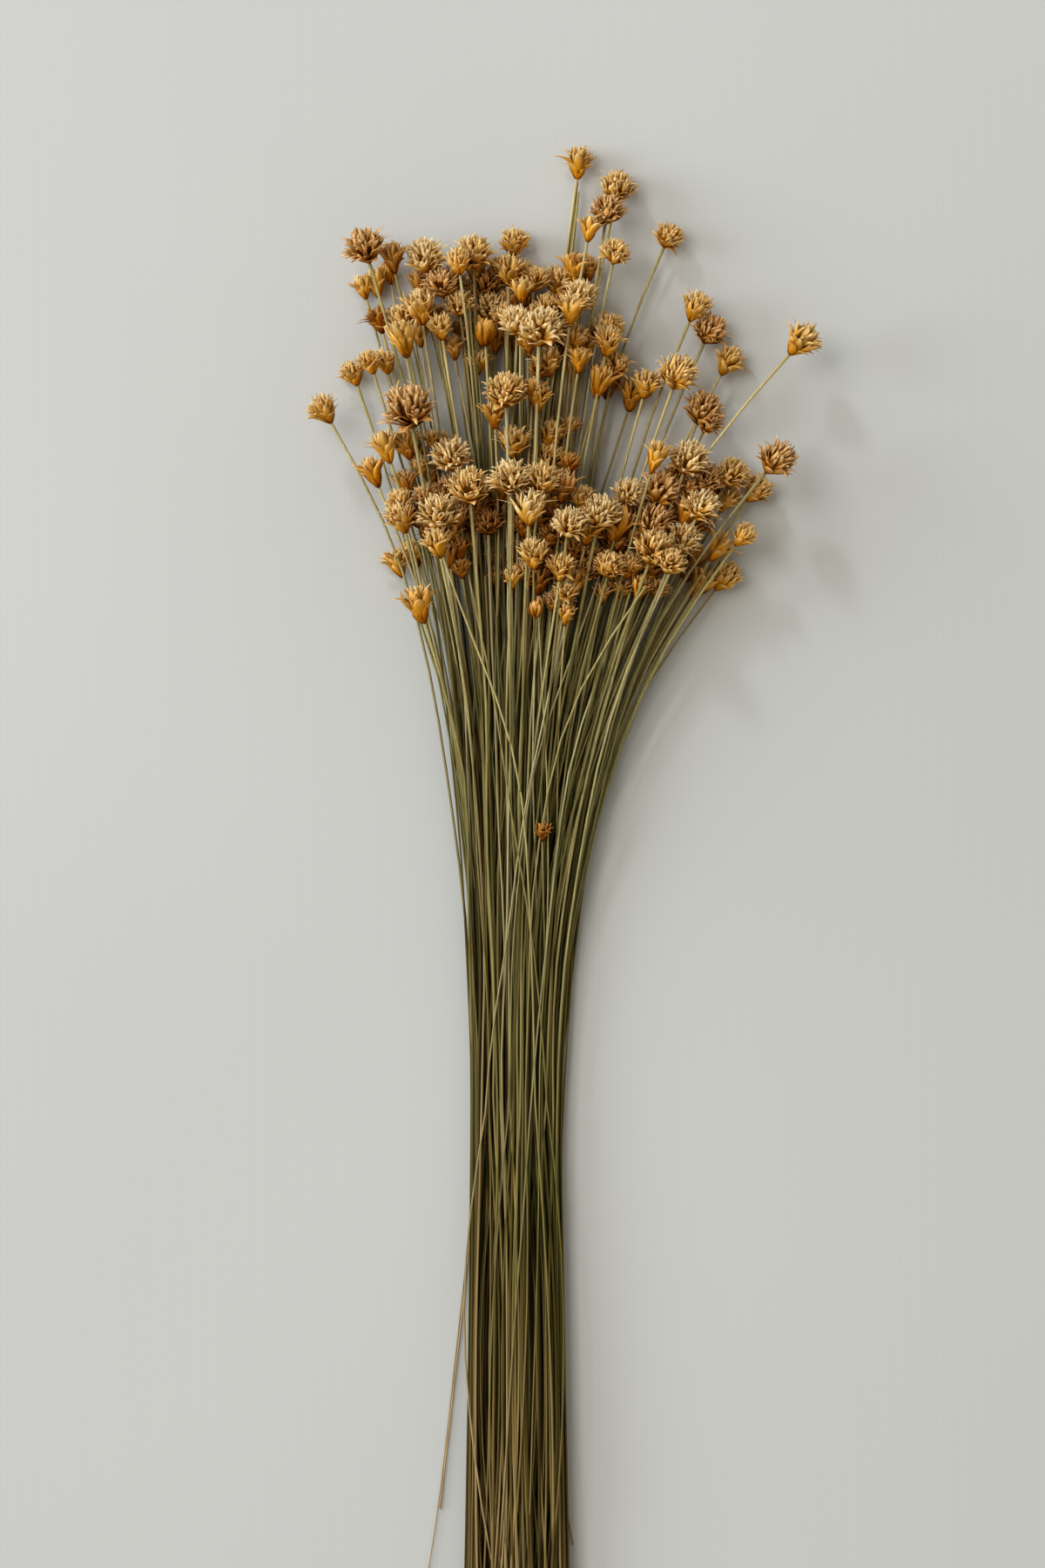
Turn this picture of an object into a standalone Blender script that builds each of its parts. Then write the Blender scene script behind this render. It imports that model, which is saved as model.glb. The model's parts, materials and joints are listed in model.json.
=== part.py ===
"""Bundle of preserved hill flowers lying on a table, flower heads towards +Y and +Z up.

A ring of thin dried stems is gathered by a rubber band near the cut ends. Above the waist the
stems fan out, and each one ends in a small straw-like flower head. A flower grew as one piece,
so a stem and its head are one object, and nothing joins it to its neighbours but the band.

The fan is one shape for all the flowers: a stem leaves the waist straight, and its distance from
its own place in the waist grows with a power of the height. Stems are sorted by how far they
spread, so they never cross inside a layer, and each flower is laid on top of those under it.
"""

import math

import bpy
import numpy as np

MM = 0.001

# Driving dimensions, in millimetres. "Up" is measured along the bundle from the cut ends.
LENGTH = 600.0
FAN_START = 231.0
FAN_POWER = 2.1
WAIST_HALF_WIDTH = 17.0
WAIST_HALF_HEIGHT = 5.4
FOOT_HALF_WIDTH = 20.6
FOOT_HALF_HEIGHT = 6.9

STEM_RADIUS_FOOT = 0.58
STEM_RADIUS_WAIST = 0.50
STEM_RADIUS_TOP = 0.62
STEM_GAP = 0.4
CUT_UNEVENNESS = 5.0

BAND_UP = 24.0
BAND_WIDTH = 5.0
BAND_THICKNESS = 0.8
BAND_CLEARANCE = 0.3
BAND_POINTS = 44

LAYER_HEIGHT = 7.0
CURL_LENGTH = 80.0
CURL_STATIONS = (1.0, 0.75, 0.5, 0.28)
SWELL_LENGTH = 9.0
SORTING_PASSES = 12
STATION_STEP = 40.0
LEVEL_STEP = 2.0

# A head's outline: (share of its length from the neck, share of its half width).
HEAD_OUTLINES = {
    "bud": ((0.12, 0.36), (0.42, 0.86), (0.75, 1.0), (1.0, 0.45)),
    "cup": ((0.14, 0.34), (0.50, 0.78), (0.82, 1.0), (1.0, 0.62)),
    "half": ((0.14, 0.38), (0.42, 0.80), (0.74, 1.0), (1.0, 0.58)),
    "open": ((0.12, 0.40), (0.34, 0.88), (0.64, 1.0), (1.0, 0.48)),
}
HEAD_LENGTH = {"bud": 1.40, "cup": 1.05, "half": 0.98, "open": 0.80}
HEAD_TILT = {"bud": 0.05, "cup": 0.10, "half": 0.22, "open": 0.40}
HEAD_COLOURS = {
    "bud": (0.46, 0.20, 0.035),
    "cup": (0.44, 0.23, 0.05),
    "half": (0.43, 0.26, 0.08),
    "open": (0.45, 0.31, 0.14),
}
NECK_RADIUS = 0.95

# Each flower: millimetres across from the bundle's middle line and up to the head's middle, the
# head's width and kind, the layer it lies in (0 is nearest the table), and the millimetres that
# the last stretch of stem curls sideways.
FLOWERS = (
    (24, 593, 11, "cup", 0, 0),
    (39, 584, 13, "open", 0, 0),
    (35, 574, 13, "open", 1, -1),
    (28, 566, 9, "cup", 1, 2),
    (38, 557, 11, "open", 2, 4),
    (59, 565, 11, "open", 0, 9),
    (-58, 559, 15, "open", 2, 0),
    (-35, 556, 15, "open", 1, 0),
    (-22, 553, 10, "half", 2, 0),
    (-59, 545, 9, "cup", 0, 0),
    (-53, 532, 9, "cup", 1, -2),
    (-37, 536, 13, "half", 2, 0),
    (-43, 523, 13, "cup", 3, 0),
    (-29, 528, 10, "half", 2, -2),
    (-22, 538, 12, "open", 1, -1),
    (-63, 512, 10, "half", 0, -3),
    (-56, 515, 9, "half", 1, -2),
    (-1, 562, 11, "half", 0, -2),
    (-3, 551, 12, "half", 1, 0),
    (2, 542, 9, "cup", 2, 0),
    (12, 537, 11, "open", 1, 0),
    (21, 534, 11, "cup", 3, 1),
    (9, 527, 18, "open", 3, 0),
    (-12, 526, 8, "bud", 2, 0),
    (24, 515, 9, "cup", 3, 1),
    (35, 523, 11, "half", 2, 0),
    (69, 537, 11, "half", 1, 3),
    (75, 529, 13, "open", 0, 4),
    (82, 517, 11, "half", 0, 5),
    (62, 511, 15, "open", 2, 0),
    (50, 507, 11, "half", 1, 0),
    (109, 523, 13, "half", 2, 16),
    (72, 498, 14, "open", 1, 2),
    (53, 478, 9, "bud", 3, -2),
    (66, 478, 15, "open", 2, -2),
    (100, 478, 14, "open", 3, 14),
    (83, 473, 13, "open", 1, 4),
    (43, 465, 12, "open", 2, 2),
    (71, 460, 13, "open", 3, 1),
    (53, 444, 15, "open", 3, 2),
    (78, 445, 11, "cup", 1, 8),
    (87, 449, 9, "half", 2, 12),
    (81, 434, 11, "half", 0, 14),
    (-74, 497, 11, "half", 1, -11),
    (-41, 497, 19, "open", 3, 0),
    (-50, 482, 11, "cup", 3, -6),
    (-25, 479, 15, "open", 2, -2),
    (-18, 467, 16, "open", 3, 0),
    (-30, 457, 15, "open", 3, -2),
    (-37, 422, 13, "cup", 3, -8),
    (-30, 445, 11, "half", 3, -5),
    (-46, 439, 10, "cup", 0, -10),
    (-4, 503, 15, "open", 3, -2),
    (-1, 484, 13, "half", 2, 0),
    (-2, 470, 15, "open", 3, -1),
    (5, 459, 14, "half", 3, 0),
    (-11, 454, 11, "open", 2, -1),
    (20, 453, 13, "open", 3, 1),
    (32, 457, 15, "open", 3, 1),
)


def fan(up):
    """How far the fan has opened: 0 at the waist, 1 at the top of the bundle."""
    share = np.clip((np.asarray(up, float) - FAN_START) / (LENGTH - FAN_START), 0.0, None)
    return share**FAN_POWER


def fan_slope(up):
    """How much the fan opens in each millimetre of height."""
    return FAN_POWER * fan(up) / max(up - FAN_START, 1.0)


def curl(up, neck_up):
    """The sideways curl of the last stretch of stem: 0 where it begins, 1 at the neck."""
    share = np.clip((np.asarray(up, float) - neck_up + CURL_LENGTH) / CURL_LENGTH, 0.0, None)
    return share**2


def gather(up):
    """The half width and half height of the ring of stems: it narrows to the waist."""
    share = np.clip(np.asarray(up, float) / FAN_START, 0.0, 1.0)
    half_width = FOOT_HALF_WIDTH + (WAIST_HALF_WIDTH - FOOT_HALF_WIDTH) * share
    half_height = FOOT_HALF_HEIGHT + (WAIST_HALF_HEIGHT - FOOT_HALF_HEIGHT) * share
    return half_width, half_height


def band_lift(up):
    """The lowest stems clear the band under them, and lie on the table further up."""
    lift = BAND_THICKNESS + BAND_CLEARANCE
    share = np.clip((np.asarray(up, float) - BAND_UP) / (FAN_START / 2 - BAND_UP), 0.0, 1.0)
    return lift * (1 - share)


def stem_radius(up):
    """A stem is thickest at its cut end, thinnest at the waist, and thickens again to the head."""
    up = np.asarray(up, float)
    below = STEM_RADIUS_FOOT + (STEM_RADIUS_WAIST - STEM_RADIUS_FOOT) * up / FAN_START
    above = (up - FAN_START) / (LENGTH - FAN_START)
    above = STEM_RADIUS_WAIST + (STEM_RADIUS_TOP - STEM_RADIUS_WAIST) * above
    return np.where(up < FAN_START, below, above)


def row_places(count, row):
    """Evenly spaced places in the lower or upper row of the waist's oval."""
    reach = 1.0 if row == "upper" else 1.0 - 1.0 / count
    cosines = np.linspace(-reach, reach, count)
    sines = np.sqrt(1.0 - cosines**2)
    return np.stack([cosines, sines if row == "upper" else -sines], 1)


class Flower:
    """One flower: where its head is, its place in the ring, and how high it is laid."""

    def __init__(self, number, row):
        self.name = f"flower_{number:02d}"
        self.across, self.up, self.width, self.kind, self.layer, self.curl = row
        self.head_length = self.width * HEAD_LENGTH[self.kind]
        # An even spread of offsets with no repeats, from the golden ratio.
        self.foot = CUT_UNEVENNESS * (number * 0.618 % 1.0)
        self.row, self.place = "lower", np.zeros(2)
        self.height = 0.0
        self.find_neck()

    def find_neck(self):
        """The neck lies below the head's middle, back along the stem's own direction there."""
        self.neck_across, self.neck_up = self.across, self.up
        for _ in range(6):
            spread = self.neck_across - self.curl - WAIST_HALF_WIDTH * self.place[0]
            slope = spread * fan_slope(self.neck_up) / float(fan(self.neck_up))
            slope += 2 * self.curl / CURL_LENGTH
            self.direction = np.array([slope, 1.0, HEAD_TILT[self.kind]])
            self.direction /= np.linalg.norm(self.direction)
            self.neck_across = self.across - self.direction[0] * self.head_length / 2
            self.neck_up = self.up - self.direction[1] * self.head_length / 2

    def fan_end(self):
        """Up to here the stem follows the fan, so it can't cross others of its own row."""
        return self.neck_up - (CURL_LENGTH if self.curl else SWELL_LENGTH)

    def pull(self):
        """How hard the fan spreads this stem sideways, which sorts the stems in the ring."""
        return (self.neck_across - self.curl) / float(fan(self.neck_up))

    def route(self, up):
        """The stem's middle line at these heights up the bundle, up to the neck."""
        half_width, half_height = gather(up)
        start_across = half_width * self.place[0]
        start_height = half_height * (1 + self.place[1]) + stem_radius(up) + band_lift(up)
        waist_across = WAIST_HALF_WIDTH * self.place[0]
        waist_height = WAIST_HALF_HEIGHT * (1 + self.place[1]) + STEM_RADIUS_WAIST
        share = fan(up) / float(fan(self.neck_up))
        spread = self.neck_across - self.curl - waist_across
        across = start_across + spread * share + self.curl * curl(up, self.neck_up)
        height = start_height + (self.height - waist_height) * share
        return np.stack([across, np.asarray(up, float), height], 1)

    def points(self, ups):
        """The middle line of the stem at the given heights, then of the head, with radii."""
        stem = self.route(ups)
        radii = stem_radius(ups)
        radii[-1] = NECK_RADIUS
        outline = np.array(HEAD_OUTLINES[self.kind])
        head = stem[-1] + np.outer(outline[:, 0] * self.head_length, self.direction)
        radii = np.concatenate([radii, outline[:, 1] * self.width / 2])
        return np.concatenate([stem, head]), radii

    def stations(self):
        """The heights at which the stem is drawn: the same for all stems up to their necks."""
        last = self.neck_up - (CURL_LENGTH if self.curl else 0.0)
        ups = [self.foot, BAND_UP, FAN_START / 2]
        ups.extend(np.arange(FAN_START, last - STATION_STEP / 3, STATION_STEP))
        curl_stations = CURL_STATIONS if abs(self.curl) > 2 else CURL_STATIONS[::2]
        ups.extend(self.neck_up - CURL_LENGTH * np.array(curl_stations if self.curl else ()))
        return np.array([*ups, self.neck_up - SWELL_LENGTH, self.neck_up])


def share_out_ring(in_order):
    """The first half takes the ring's lower row, each row sorted so no stems cross in it."""
    half = len(in_order) // 2
    for name, row in (("lower", in_order[:half]), ("upper", in_order[half:])):
        row.sort(key=Flower.pull)
        places = row_places(len(row), name)
        for _ in range(SORTING_PASSES):
            for flower, place in zip(row, places, strict=True):
                flower.row, flower.place = name, place
                flower.find_neck()
            for left in range(len(row) - 1):
                pair = row[left : left + 2]
                end = np.array([min(flower.fan_end() for flower in pair)])
                if pair[0].route(end)[0, 0] > pair[1].route(end)[0, 0]:
                    row[left : left + 2] = pair[::-1]


def lay_down(in_order):
    """Lays the flowers one on another, in order, each as low as those under it allow.

    A flower's height at any level is a part that its place in the ring fixes plus a share of
    the height of its neck, so the lowest neck that clears everything comes from one division.
    """
    levels = np.arange(FAN_START, LENGTH + 20.0, LEVEL_STEP)
    laid = []
    for flower in in_order:
        at_zero = profile(flower, levels)
        flower.height = 1.0
        at_one = profile(flower, levels)
        share = at_one[1] - at_zero[1]
        usable = (share > 0.12) & (at_zero[2] > 0)
        needed = [flower.width / 2 + flower.layer * LAYER_HEIGHT]
        needed.extend(((at_zero[2] - at_zero[1]) / np.where(usable, share, 1.0))[usable])
        slope = np.abs(np.gradient(at_zero[0], LEVEL_STEP))
        for other, (across, height, radius) in laid:
            apart = (at_zero[2] + radius + STEM_GAP) * np.sqrt(1 + slope**2)
            aside = np.abs(at_zero[0] - across)
            over = usable & (radius > 0) & (aside < apart)
            if other.row == flower.row:
                over &= levels > min(other.fan_end(), flower.fan_end())
            rise = np.sqrt(np.clip(apart**2 - aside**2, 0.0, None))
            needed.extend(((height + rise - at_zero[1]) / np.where(over, share, 1.0))[over])
        flower.height = float(max(needed))
        laid.append((flower, profile(flower, levels)))


def profile(flower, levels):
    """Across, height and radius of the flower at each level, with radius 0 past its tip."""
    ups = np.append(np.arange(FAN_START, flower.neck_up - 1.0, LEVEL_STEP), flower.neck_up)
    points, radii = flower.points(ups)
    tip = points[-1, 1]
    across = np.interp(levels, points[:, 1], points[:, 0])
    height = np.interp(levels, points[:, 1], points[:, 2])
    radius = np.where(levels <= tip + 1.0, np.interp(levels, points[:, 1], radii), 0.0)
    return across, height, radius


def make_material(name, colour, roughness):
    material = bpy.data.materials.new(name)
    material.use_nodes = True
    shader = material.node_tree.nodes["Principled BSDF"]
    shader.inputs["Base Color"].default_value = (*colour, 1.0)
    shader.inputs["Roughness"].default_value = roughness
    shader.inputs["Metallic"].default_value = 0.0
    return material


def make_flower(flower, collection, bundle, material):
    """A tube along the stem that swells into the head, with its origin at the cut end."""
    points, radii = flower.points(flower.stations())
    foot = points[0].copy()
    curve = bpy.data.curves.new(flower.name, "CURVE")
    curve.dimensions = "3D"
    curve.bevel_depth = MM
    curve.bevel_resolution = 1
    curve.use_fill_caps = True
    spline = curve.splines.new("POLY")
    spline.points.add(len(points) - 1)
    spline.points.foreach_set("co", np.c_[(points - foot) * MM, np.ones(len(points))].ravel())
    spline.points.foreach_set("radius", radii)
    curve.materials.append(material)
    flower_object = bpy.data.objects.new(flower.name, curve)
    flower_object.location = foot * MM
    flower_object.parent = bundle
    collection.objects.link(flower_object)


def make_band(collection, bundle, material):
    """A flat elastic band round the stems: two outlines in one plane, given a width."""
    half_width, half_height = gather(BAND_UP)
    radius = float(stem_radius(BAND_UP))
    curve = bpy.data.curves.new("rubber_band", "CURVE")
    curve.dimensions = "2D"
    curve.fill_mode = "BOTH"
    curve.extrude = BAND_WIDTH / 2 * MM
    angles = np.linspace(0.0, 2 * math.pi, BAND_POINTS, endpoint=False)
    for grow in (BAND_CLEARANCE, BAND_CLEARANCE + BAND_THICKNESS):
        outline = curve.splines.new("POLY")
        outline.points.add(BAND_POINTS - 1)
        across = (half_width + radius + grow) * np.cos(angles)
        height = (half_height + radius + grow) * np.sin(angles)
        flat = np.stack([across, height, np.zeros(BAND_POINTS)], 1) * MM
        outline.points.foreach_set("co", np.c_[flat, np.ones(BAND_POINTS)].ravel())
        outline.use_cyclic_u = True
    curve.materials.append(material)
    band = bpy.data.objects.new("rubber_band", curve)
    middle = half_height + radius + BAND_CLEARANCE + BAND_THICKNESS
    band.location = (0.0, BAND_UP * MM, middle * MM)
    band.rotation_euler = (math.pi / 2, 0.0, 0.0)
    band.parent = bundle
    collection.objects.link(band)


def centre_bundle(collection, bundle):
    """Puts the world's origin under the middle of the bundle's box."""
    bpy.context.view_layer.update()
    graph = bpy.context.evaluated_depsgraph_get()
    corners = []
    for obj in collection.objects:
        if obj.type == "CURVE":
            evaluated = obj.evaluated_get(graph)
            mesh = evaluated.to_mesh()
            local = np.empty(len(mesh.vertices) * 3)
            mesh.vertices.foreach_get("co", local)
            turn, place = np.array(obj.matrix_world.to_3x3()), np.array(obj.matrix_world.translation)
            world = local.reshape(-1, 3) @ turn.T + place
            corners.extend([world.min(axis=0), world.max(axis=0)])
            evaluated.to_mesh_clear()
    low, high = np.min(corners, axis=0), np.max(corners, axis=0)
    bundle.location = (-(low[0] + high[0]) / 2, -(low[1] + high[1]) / 2, -low[2])


def main():
    for obj in list(bpy.data.objects):
        bpy.data.objects.remove(obj)
    collection = bpy.data.collections.new("hill_flower_bundle")
    bpy.context.scene.collection.children.link(collection)
    bundle = bpy.data.objects.new("bundle", None)
    collection.objects.link(bundle)

    flowers = [Flower(number, row) for number, row in enumerate(FLOWERS, 1)]
    in_order = sorted(flowers, key=lambda flower: (flower.layer, -flower.up))
    share_out_ring(in_order)
    lay_down(in_order)
    materials = {
        kind: make_material(f"dried_{kind}_head", colour, 0.75)
        for kind, colour in HEAD_COLOURS.items()
    }
    for flower in flowers:
        make_flower(flower, collection, bundle, materials[flower.kind])
    make_band(collection, bundle, make_material("rubber", (0.30, 0.16, 0.07), 0.6))
    centre_bundle(collection, bundle)


main()
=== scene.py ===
"""Looks for a bundle of preserved hill flowers that lies on a pale table, seen from above.

Every flower of the frame is measured and replaced with a detailed one: a dried stem that swells
to its neck, and a head of overlapping papery bracts. Inner flowers, whose heads sit behind,
between and under those of the frame, stems without heads and a few loose stems are placed from
the measured ones.
"""

import json
import math
from collections import namedtuple
from functools import partial

import bpy
import numpy as np
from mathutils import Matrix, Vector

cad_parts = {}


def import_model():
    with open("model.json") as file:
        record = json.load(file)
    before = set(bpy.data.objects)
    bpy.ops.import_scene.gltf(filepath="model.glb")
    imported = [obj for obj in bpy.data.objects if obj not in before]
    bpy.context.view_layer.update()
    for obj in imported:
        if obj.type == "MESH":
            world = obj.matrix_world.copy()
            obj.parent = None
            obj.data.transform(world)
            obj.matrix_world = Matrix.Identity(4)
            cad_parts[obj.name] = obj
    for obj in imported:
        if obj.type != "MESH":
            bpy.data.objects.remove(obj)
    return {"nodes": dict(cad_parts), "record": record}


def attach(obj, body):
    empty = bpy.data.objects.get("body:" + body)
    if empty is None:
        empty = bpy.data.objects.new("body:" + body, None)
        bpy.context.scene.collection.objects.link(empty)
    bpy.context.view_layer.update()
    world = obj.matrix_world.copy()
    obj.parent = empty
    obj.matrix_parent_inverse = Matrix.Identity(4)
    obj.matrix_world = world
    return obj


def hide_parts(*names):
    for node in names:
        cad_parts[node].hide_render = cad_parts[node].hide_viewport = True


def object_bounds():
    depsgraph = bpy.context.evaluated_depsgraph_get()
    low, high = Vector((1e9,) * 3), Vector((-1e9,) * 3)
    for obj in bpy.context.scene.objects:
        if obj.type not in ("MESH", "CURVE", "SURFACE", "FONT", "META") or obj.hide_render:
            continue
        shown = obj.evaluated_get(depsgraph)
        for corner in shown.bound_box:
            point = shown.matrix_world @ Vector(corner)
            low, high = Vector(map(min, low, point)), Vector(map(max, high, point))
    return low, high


MM = 0.001
GOLDEN_TURN = math.radians(137.508)
FLOOR_CLEARANCE = 0.1 * MM  # no vertex lies lower than this
SECTION_STEP = 1.0  # mm between the sections that measure a flower
NECK_HALF_HEIGHT = 1.08  # mm, a section of the frame's flower this high is where its head begins
NECK_SECTIONS = 7  # the last sections of a stem, which give its direction at the neck
STRAIGHT_SECTIONS = 11  # those that give its direction where it is made longer
PAST_NECK = 0.5  # mm beyond the neck from where a flower's vertices are its head's
HEAD_SPREAD = 1.08  # half width of a detailed head, as a share of the frame's
FRAME_STATIONS = (8, 5)  # rings along a broad and a slim bract of the frame's flowers
FRAME_TONES = (0.15, 1.0)  # how dark and how pale their stems are

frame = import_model()
cad_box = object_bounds()
BOX_LOW, BOX_HIGH = (np.array(corner, float) / MM for corner in cad_box)
WAIST = BOX_HIGH[1] - 369.0  # mm along Y, where the fan of stems begins
BAND = -275.0  # mm along Y, the middle of the rubber band
FAN_POWER = 2.1  # above 1 the stems curve outwards as they rise


# ---------------------------------------------------------------- measuring the frame


def at(line, y):
    """The points of a line at these Y, by linear interpolation."""
    return np.stack([np.interp(y, line[:, 1], line[:, i]) for i in (0, 1, 2)], -1)


def measure(name):
    """A flower's stem line and its head, in millimetres.

    Each section square to Y gives one point of the stem's middle line: the mean of where the
    mesh's edges cross it. The neck is where the section's height passes the stem's. The head's
    axis runs from the neck to the mean of the vertices beyond it.
    """
    mesh = frame["nodes"][name].data
    points = np.empty(len(mesh.vertices) * 3)
    mesh.vertices.foreach_get("co", points)
    points = points.reshape(-1, 3) / MM
    edges = np.empty(len(mesh.edges) * 2, int)
    mesh.edges.foreach_get("vertices", edges)
    start, end = points[edges.reshape(-1, 2)].transpose(1, 0, 2)

    line = []
    for level in np.arange(points[:, 1].min() + SECTION_STEP, points[:, 1].max(), SECTION_STEP):
        crossing = (start[:, 1] - level) * (end[:, 1] - level) < 0
        share = (level - start[crossing, 1]) / (end[crossing, 1] - start[crossing, 1])
        cut = start[crossing] + (end[crossing] - start[crossing]) * share[:, None]
        if np.ptp(cut[:, 2]) / 2 > NECK_HALF_HEIGHT:
            break
        line.append(cut.mean(axis=0))
    line = np.array(line)
    line = np.vstack([[[line[0, 0], points[:, 1].min(), line[0, 2]]], line])
    neck = line[-1]
    along = neck - line[-1 - NECK_SECTIONS]
    along /= np.linalg.norm(along)
    beyond = points[(points - neck) @ along > PAST_NECK]
    axis = beyond.mean(axis=0) - neck
    axis /= np.linalg.norm(axis)
    out = beyond - neck
    length = float((out @ axis).max())
    half_width = float(np.linalg.norm(out - np.outer(out @ axis, axis), axis=1).max())
    return {"line": line, "neck": neck, "axis": axis, "length": length, "half": half_width}


def smoothed(line, step, window):
    """The line at even steps along Y, with the corners rounded by a moving mean."""
    levels = np.linspace(line[0, 1], line[-1, 1], max(4, int(np.ptp(line[:, 1]) / step)))
    half = max(1, int(window / step / 2))
    padded = np.pad(at(line, levels), ((half, half), (0, 0)), mode="reflect", reflect_type="odd")
    kernel = np.ones(2 * half + 1) / (2 * half + 1)
    return np.stack([np.convolve(padded[:, i], kernel, "valid") for i in (0, 1, 2)], 1)


def fan(y):
    """How far the fan has opened at this Y: 0 at the waist, 1 at the top of the bundle."""
    share = np.clip((np.asarray(y, float) - WAIST) / (BOX_HIGH[1] - WAIST), 0.0, None)
    return share**FAN_POWER


slot_of = {row["node"]: row["material_slot"] for row in frame["record"]["subparts"]}
measured = {}
for cad_node in sorted(frame["nodes"]):
    if cad_node.startswith("flower_"):
        flower = measured[cad_node] = measure(cad_node)
        flower["half"] *= HEAD_SPREAD
        flower["kind"] = slot_of[cad_node].removesuffix("_flower")
        flower.update(stations=FRAME_STATIONS, tones=FRAME_TONES)

at_waist = [at(flower["line"], WAIST)[0] for flower in measured.values()]
RING_REACH = (max(at_waist) - min(at_waist)) / 2  # mm, half the bundle's width at the waist
MIDDLE = (min(at_waist) + max(at_waist)) / 2  # mm along X, its middle there


# ---------------------------------------------------------------- meshes


def grid_faces(blocks, rings, sides):
    """The quads of closed tubes: the walls, and a strip of quads over each end."""
    ring, side = np.meshgrid(np.arange(rings - 1), np.arange(sides), indexing="ij")
    after = (side + 1) % sides
    corners = (ring * sides + side, (ring + 1) * sides + side, (ring + 1) * sides + after)
    walls = np.stack([*corners, ring * sides + after], -1).reshape(-1, 4)
    low = np.arange(sides // 2 - 1)
    cap = np.stack([low, low + 1, sides - 2 - low, sides - 1 - low], 1)
    one = np.concatenate([walls, cap, cap[:, ::-1] + (rings - 1) * sides])
    return (one[None] + (np.arange(blocks) * rings * sides)[:, None, None]).reshape(-1, 4)


class Piece:
    """Collects blocks of closed tubes and makes one mesh of them."""

    def __init__(self):
        self.points, self.faces, self.owners = [], [], []
        self.along, self.across, self.tone = [], [], []
        self.count = 0

    def add(self, points, material, along, across, tone):
        """points has the shape (blocks, rings, sides, 3), in millimetres."""
        shape = points.shape[:3]
        faces = grid_faces(*shape) + self.count
        self.faces.append(faces)
        self.owners.append(np.full(len(faces), material))
        self.points.append(points.reshape(-1, 3))
        self.count += shape[0] * shape[1] * shape[2]
        for kept, values in ((self.along, along), (self.across, across), (self.tone, tone)):
            kept.append(np.broadcast_to(values, shape).ravel())

    def finish(self, name, materials):
        """The mesh's object, at the origin, with the pattern's places as attributes."""
        points = np.concatenate(self.points) * MM
        points[:, 2] = np.maximum(points[:, 2], FLOOR_CLEARANCE)
        faces = np.concatenate(self.faces)
        mesh = bpy.data.meshes.new(name)
        mesh.vertices.add(len(points))
        mesh.vertices.foreach_set("co", points.ravel())
        mesh.loops.add(faces.size)
        mesh.loops.foreach_set("vertex_index", faces.ravel())
        mesh.polygons.add(len(faces))
        mesh.polygons.foreach_set("loop_start", np.arange(0, faces.size, 4))
        mesh.polygons.foreach_set("loop_total", np.full(len(faces), 4))
        mesh.polygons.foreach_set("material_index", np.concatenate(self.owners))
        mesh.polygons.foreach_set("use_smooth", np.ones(len(faces), bool))
        mesh.update(calc_edges=True)
        kept = (("along", self.along), ("across", self.across), ("tone", self.tone))
        for attribute, values in kept:
            data = mesh.attributes.new(attribute, "FLOAT", "POINT").data
            data.foreach_set("value", np.concatenate(values).astype(np.float32))
        for material in materials:
            mesh.materials.append(material)
        piece = bpy.data.objects.new(name, mesh)
        bpy.context.scene.collection.objects.link(piece)
        return piece


def square_to(axis):
    """Two unit vectors square to each axis in the list and to each other."""
    side = np.cross(axis, np.array([0.0, 0.0, 1.0]))
    side /= np.linalg.norm(side, axis=-1, keepdims=True)
    return side, np.cross(side, axis)


def tube(path, radii, sides):
    """Rings of vertices round a path: each point plus its radius in every direction."""
    forward = np.gradient(path, axis=0)
    forward /= np.linalg.norm(forward, axis=1, keepdims=True)
    side, up = square_to(forward)
    angles = np.arange(sides) * 2 * math.pi / sides
    ring = side[:, None] * np.cos(angles)[:, None] + up[:, None] * np.sin(angles)[:, None]
    return path[:, None] + ring * np.asarray(radii)[:, None, None]


# ---------------------------------------------------------------- flower heads

# Across a bract: its place from edge to edge, and on which face it lies.
BROAD_ACROSS = np.array([-1.0, -0.4, 0.4, 1.0, 0.4, -0.4])
BROAD_FACE = np.array([0.0, 1.0, 1.0, 0.0, -1.0, -1.0])
SLIM_ACROSS = np.array([-1.0, 0.0, 1.0, 0.0])
SLIM_FACE = np.array([0.0, 1.0, 0.0, -1.0])
OUTER, INNER = 1, 2  # material slots of a flower: 0 is its stem

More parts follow.
